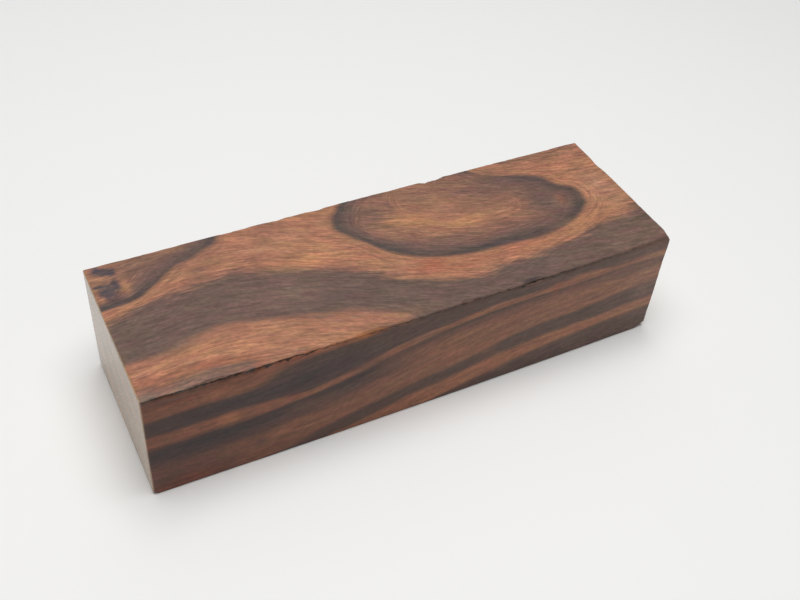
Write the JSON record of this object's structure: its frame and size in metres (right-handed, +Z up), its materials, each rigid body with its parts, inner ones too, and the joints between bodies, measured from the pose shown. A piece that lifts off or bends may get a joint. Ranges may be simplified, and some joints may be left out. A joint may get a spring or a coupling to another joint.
{
  "type": "ironwood block",
  "caption": "Solid rectangular block of sawn desert ironwood with worn arrises and chipped corners, a blank for handles and turning.",
  "frame": {"origin": "middle of the bottom face", "axes": "+X along the grain and the longest side, -Y out of the long side that bows and carries the layered figure, +Z up out of the top face"},
  "size_m": [0.127, 0.0412, 0.0295],
  "materials": {
    "ironwood": "sawn and lightly oiled heartwood, dark and orange-brown growth layers, polished ends"
  },
  "bodies": {
    "root": {"ironwood_block": "ironwood"}
  },
  "joints": []
}
